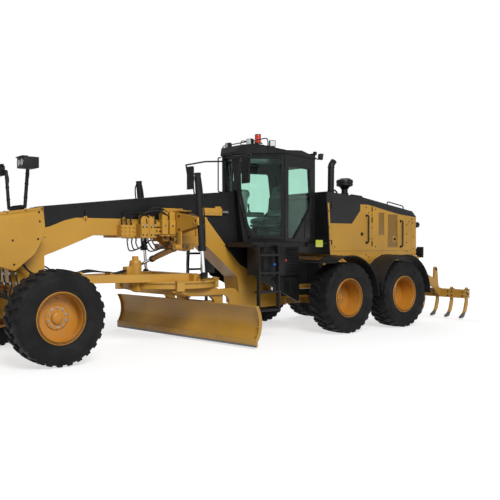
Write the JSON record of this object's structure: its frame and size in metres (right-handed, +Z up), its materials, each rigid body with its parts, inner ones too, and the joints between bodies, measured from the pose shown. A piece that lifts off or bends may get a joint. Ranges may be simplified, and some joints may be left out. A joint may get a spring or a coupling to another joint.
{
  "type": "motor grader",
  "caption": "Six-wheel motor grader with an articulated frame, cab on the front frame, long box beam, turntable-mounted moldboard, leaning front wheels and a rear ripper.",
  "frame": {"origin": "on the ground under the middle of the bounding box", "axes": "+X forward, +Y to the machine's left, +Z up"},
  "size_m": [10.13, 3.39, 3.48],
  "materials": {
    "yellow_paint": "semi-gloss",
    "black_paint": "satin",
    "cab_black": "semi-gloss",
    "black_plastic": "matte",
    "engine_iron": "painted",
    "tinted_glass": "clear",
    "interior_fabric": "woven",
    "steel": "machined",
    "chrome_rod": "polished",
    "tyre_rubber": "matte"
  },
  "bodies": {
    "rear": {"rear_frame": "yellow_paint", "engine_block": "engine_iron", "tandem_cases": "yellow_paint", "tandem_fenders": "black_plastic", "hood": "yellow_paint", "exhaust_and_intake": "black_paint"},
    "front": {"front_frame": "yellow_paint", "beam_cover": "black_paint", "nose_cover": "yellow_paint", "blade_saddle": "yellow_paint", "front_axle": "yellow_paint", "cab_shell": "cab_black", "cab_glass": "tinted_glass", "cab_interior": "interior_fabric", "platform": "black_paint", "lamps_and_mirrors": "black_plastic"},
    "tie_rod": {"tie_rod": "steel"},
    "lean_bar": {"lean_bar": "steel"},
    "drawbar_cross": {"drawbar_cross": "steel"},
    "drawbar": {"drawbar": "yellow_paint"},
    "circle": {"circle": "yellow_paint"},
    "tip_carrier": {"tip_carrier": "yellow_paint"},
    "moldboard": {"moldboard": "yellow_paint"},
    "tip_barrel": {"tip_barrel": "black_paint"},
    "tip_rod": {"tip_rod": "chrome_rod"},
    "shift_barrel": {"shift_barrel": "yellow_paint"},
    "shift_rod": {"shift_rod": "chrome_rod"},
    "ripper": {"ripper_frame": "yellow_paint"},
    "ripper_barrel": {"ripper_barrel": "yellow_paint"},
    "ripper_rod": {"ripper_rod": "chrome_rod"},
    "lean_yoke_left": {"lean_yoke_left": "yellow_paint"},
    "knuckle_left": {"knuckle_left": "yellow_paint"},
    "lift_barrel_left": {"lift_barrel_left": "black_paint"},
    "lift_rod_left": {"lift_rod_left": "chrome_rod"},
    "swing_barrel_left": {"swing_barrel_left": "yellow_paint"},
    "swing_rod_left": {"swing_rod_left": "chrome_rod"},
    "cab_door_left": {"cab_door_left": "cab_black"},
    "hood_door_front_left": {"hood_door_front_left": "yellow_paint"},
    "hood_door_rear_left": {"hood_door_rear_left": "yellow_paint"},
    "wheel_tandem_front_left": {"tyre_tandem_front_left": "tyre_rubber", "rim_tandem_front_left": "yellow_paint"},
    "wheel_tandem_rear_left": {"tyre_tandem_rear_left": "tyre_rubber", "rim_tandem_rear_left": "yellow_paint"},
    "wheel_front_left": {"tyre_front_left": "tyre_rubber", "rim_front_left": "yellow_paint"},
    "lean_yoke_right": {"lean_yoke_right": "yellow_paint"},
    "knuckle_right": {"knuckle_right": "yellow_paint"},
    "lift_barrel_right": {"lift_barrel_right": "black_paint"},
    "lift_rod_right": {"lift_rod_right": "chrome_rod"},
    "swing_barrel_right": {"swing_barrel_right": "yellow_paint"},
    "swing_rod_right": {"swing_rod_right": "chrome_rod"},
    "cab_door_right": {"cab_door_right": "cab_black"},
    "hood_door_front_right": {"hood_door_front_right": "yellow_paint"},
    "hood_door_rear_right": {"hood_door_rear_right": "yellow_paint"},
    "wheel_tandem_front_right": {"tyre_tandem_front_right": "tyre_rubber", "rim_tandem_front_right": "yellow_paint"},
    "wheel_tandem_rear_right": {"tyre_tandem_rear_right": "tyre_rubber", "rim_tandem_rear_right": "yellow_paint"},
    "wheel_front_right": {"tyre_front_right": "tyre_rubber", "rim_front_right": "yellow_paint"}
  },
  "joints": [
    {"name": "articulation", "type": "hinge", "parent": "rear", "child": "front", "pos_m": [-0.835, 0, 0.885], "axis": [0, 0, 1], "range_deg": [-20, 20]},
    {"name": "articulation_barrel_left", "type": "hinge", "parent": "rear", "child": "swing_barrel_left", "pos_m": [-1.5, 0.53, 0.79], "axis": [0, 0, 1], "range_deg": [-8.4, 8.4]},
    {"name": "articulation_rod_left", "type": "slide", "parent": "swing_barrel_left", "child": "swing_rod_left", "axis": [0.9923, -0.124, 0], "range_m": [-0.1604, 0.1604]},
    {"name": "articulation_barrel_right", "type": "hinge", "parent": "rear", "child": "swing_barrel_right", "pos_m": [-1.5, -0.53, 0.79], "axis": [0, 0, 1], "range_deg": [-8.4, 8.4]},
    {"name": "articulation_rod_right", "type": "slide", "parent": "swing_barrel_right", "child": "swing_rod_right", "axis": [0.9923, 0.124, 0], "range_m": [-0.1604, 0.1604]},
    {"name": "tandem_front_wheel_left", "type": "hinge", "parent": "rear", "child": "wheel_tandem_front_left", "pos_m": [-1.2735, 1.1, 0.62], "axis": [0, 1, 0], "continuous": true},
    {"name": "tandem_rear_wheel_left", "type": "hinge", "parent": "rear", "child": "wheel_tandem_rear_left", "pos_m": [-2.7965, 1.1, 0.62], "axis": [0, 1, 0], "continuous": true},
    {"name": "tandem_front_wheel_right", "type": "hinge", "parent": "rear", "child": "wheel_tandem_front_right", "pos_m": [-1.2735, -1.1, 0.62], "axis": [0, 1, 0], "continuous": true},
    {"name": "tandem_rear_wheel_right", "type": "hinge", "parent": "rear", "child": "wheel_tandem_rear_right", "pos_m": [-2.7965, -1.1, 0.62], "axis": [0, 1, 0], "continuous": true},
    {"name": "wheel_lean_left", "type": "hinge", "parent": "front", "child": "lean_yoke_left", "pos_m": [4.088, 0.7, 0.56], "axis": [1, 0, 0], "range_deg": [-18, 18]},
    {"name": "steer_left", "type": "hinge", "parent": "lean_yoke_left", "child": "knuckle_left", "pos_m": [4.088, 0.8, 0.56], "axis": [0, 0, 1], "range_deg": [-40, 40]},
    {"name": "front_wheel_left", "type": "hinge", "parent": "knuckle_left", "child": "wheel_front_left", "pos_m": [4.088, 1.1, 0.62], "axis": [0, 1, 0], "continuous": true},
    {"name": "wheel_lean_right", "type": "hinge", "parent": "front", "child": "lean_yoke_right", "pos_m": [4.088, -0.7, 0.56], "axis": [1, 0, 0], "range_deg": [-18, 18]},
    {"name": "steer_right", "type": "hinge", "parent": "lean_yoke_right", "child": "knuckle_right", "pos_m": [4.088, -0.8, 0.56], "axis": [0, 0, 1], "range_deg": [-40, 40]},
    {"name": "front_wheel_right", "type": "hinge", "parent": "knuckle_right", "child": "wheel_front_right", "pos_m": [4.088, -1.1, 0.62], "axis": [0, 1, 0], "continuous": true},
    {"name": "tie_rod_slide", "type": "slide", "parent": "front", "child": "tie_rod", "axis": [0, 1, 0], "range_m": [-0.21, 0.21]},
    {"name": "lean_bar_slide", "type": "slide", "parent": "front", "child": "lean_bar", "axis": [0, 1, 0], "range_m": [-0.095, 0.095]},
    {"name": "drawbar_swing", "type": "hinge", "parent": "front", "child": "drawbar_cross", "pos_m": [3.67, 0, 0.93], "axis": [0, 0, 1], "range_deg": [-5, 5]},
    {"name": "drawbar_lift", "type": "hinge", "parent": "drawbar_cross", "child": "drawbar", "pos_m": [3.67, 0, 0.93], "axis": [0, 1, 0], "range_deg": [0, 7.8]},
    {"name": "circle_turn", "type": "hinge", "parent": "drawbar", "child": "circle", "pos_m": [1.64, 0, 0.91], "axis": [0, 0, 1], "range_deg": [-27, 9]},
    {"name": "blade_tip", "type": "hinge", "parent": "circle", "child": "tip_carrier", "pos_m": [1.0941, -0.06703, 0.3], "axis": [-0.1219, 0.9925, 0], "range_deg": [-5, 25]},
    {"name": "blade_side_shift", "type": "slide", "parent": "tip_carrier", "child": "moldboard", "axis": [-0.1219, 0.9925, 0], "range_m": [-0.45, 0.45]},
    {"name": "tip_barrel_turn", "type": "hinge", "parent": "circle", "child": "tip_barrel", "pos_m": [1.75911, 0.01462, 0.8], "axis": [-0.1219, 0.9925, 0], "range_deg": [-12.57, 2.61]},
    {"name": "tip_rod_slide", "type": "slide", "parent": "tip_barrel", "child": "tip_rod", "axis": [-0.9713, -0.1193, -0.206], "range_m": [-0.1343, 0.0269]},
    {"name": "lift_barrel_turn_left", "type": "hinge", "parent": "front", "child": "lift_barrel_left", "pos_m": [1.605, 0.845, 1.9], "axis": [1, 0, 0], "range_deg": [-13.33, 13.33]},
    {"name": "lift_rod_slide_left", "type": "slide", "parent": "lift_barrel_left", "child": "lift_rod_left", "axis": [-0.084, -0.012, -0.9964], "range_m": [-0.3025, 0]},
    {"name": "lift_barrel_turn_right", "type": "hinge", "parent": "front", "child": "lift_barrel_right", "pos_m": [1.605, -0.845, 1.9], "axis": [1, 0, 0], "range_deg": [-13.33, 13.33]},
    {"name": "lift_rod_slide_right", "type": "slide", "parent": "lift_barrel_right", "child": "lift_rod_right", "axis": [-0.084, 0.012, -0.9964], "range_m": [-0.3025, 0]},
    {"name": "shift_barrel_turn", "type": "hinge", "parent": "front", "child": "shift_barrel", "pos_m": [1.75, 0.42, 1.5], "axis": [1, 0, 0], "range_deg": [-13.17, 0.12]},
    {"name": "shift_rod_slide", "type": "slide", "parent": "shift_barrel", "child": "shift_rod", "axis": [0, -0.965, -0.2624], "range_m": [-0.168, 0.168]},
    {"name": "ripper_lift", "type": "hinge", "parent": "rear", "child": "ripper", "pos_m": [-4.29, 0, 0.9], "axis": [0, 1, 0], "range_deg": [0, 28]},
    {"name": "ripper_barrel_turn", "type": "hinge", "parent": "rear", "child": "ripper_barrel", "pos_m": [-4.25, 0, 1.08], "axis": [0, 1, 0], "range_deg": [-0.12, 25.11]},
    {"name": "ripper_rod_slide", "type": "slide", "parent": "ripper_barrel", "child": "ripper_rod", "axis": [-0.8437, 0, -0.5369], "range_m": [-0.0755, 0]},
    {"name": "cab_door_left", "type": "hinge", "parent": "front", "child": "cab_door_left", "pos_m": [-0.20858, 0.78206, 1.625], "axis": [0, 0, 1], "range_deg": [0, 75]},
    {"name": "hood_door_front_left", "type": "hinge", "parent": "rear", "child": "hood_door_front_left", "pos_m": [-1.52, 0.64, 1.42], "axis": [0, 0, -1], "range_deg": [0, 80]},
    {"name": "hood_door_rear_left", "type": "hinge", "parent": "rear", "child": "hood_door_rear_left", "pos_m": [-2.68, 0.64, 1.42], "axis": [0, 0, -1], "range_deg": [0, 80]},
    {"name": "cab_door_right", "type": "hinge", "parent": "front", "child": "cab_door_right", "pos_m": [-0.20858, -0.78206, 1.625], "axis": [0, 0, -1], "range_deg": [0, 75]},
    {"name": "hood_door_front_right", "type": "hinge", "parent": "rear", "child": "hood_door_front_right", "pos_m": [-1.52, -0.64, 1.42], "axis": [0, 0, 1], "range_deg": [0, 80]},
    {"name": "hood_door_rear_right", "type": "hinge", "parent": "rear", "child": "hood_door_rear_right", "pos_m": [-2.68, -0.64, 1.42], "axis": [0, 0, 1], "range_deg": [0, 80]}
  ],
  "couplings": [
    {"joint": "articulation_barrel_left", "follows": "articulation", "ratio": 0.39824},
    {"joint": "articulation_rod_left", "follows": "articulation", "m_per_rad": -0.44176},
    {"joint": "articulation_barrel_right", "follows": "articulation", "ratio": 0.39824},
    {"joint": "articulation_rod_right", "follows": "articulation", "m_per_rad": 0.44176},
    {"joint": "wheel_lean_right", "follows": "wheel_lean_left", "ratio": 1},
    {"joint": "steer_right", "follows": "steer_left", "ratio": 1},
    {"joint": "tie_rod_slide", "follows": "steer_left", "m_per_rad": -0.27},
    {"joint": "lean_bar_slide", "follows": "wheel_lean_left", "m_per_rad": -0.28},
    {"joint": "tip_barrel_turn", "follows": "blade_tip", "ratio": -0.47916},
    {"joint": "tip_rod_slide", "follows": "blade_tip", "m_per_rad": -0.29594},
    {"joint": "lift_barrel_turn_left", "follows": "drawbar_swing", "ratio": -2.5419},
    {"joint": "lift_rod_slide_left", "follows": "drawbar_lift", "m_per_rad": -2.1363},
    {"joint": "lift_barrel_turn_right", "follows": "drawbar_swing", "ratio": -2.5419},
    {"joint": "lift_rod_slide_right", "follows": "drawbar_lift", "m_per_rad": -2.1363},
    {"joint": "shift_barrel_turn", "follows": "drawbar_lift", "ratio": -1.6096},
    {"joint": "shift_rod_slide", "follows": "drawbar_swing", "m_per_rad": 1.8513},
    {"joint": "ripper_barrel_turn", "follows": "ripper_lift", "ratio": 0.85822},
    {"joint": "ripper_rod_slide", "follows": "ripper_lift", "m_per_rad": -0.14862}
  ]
}
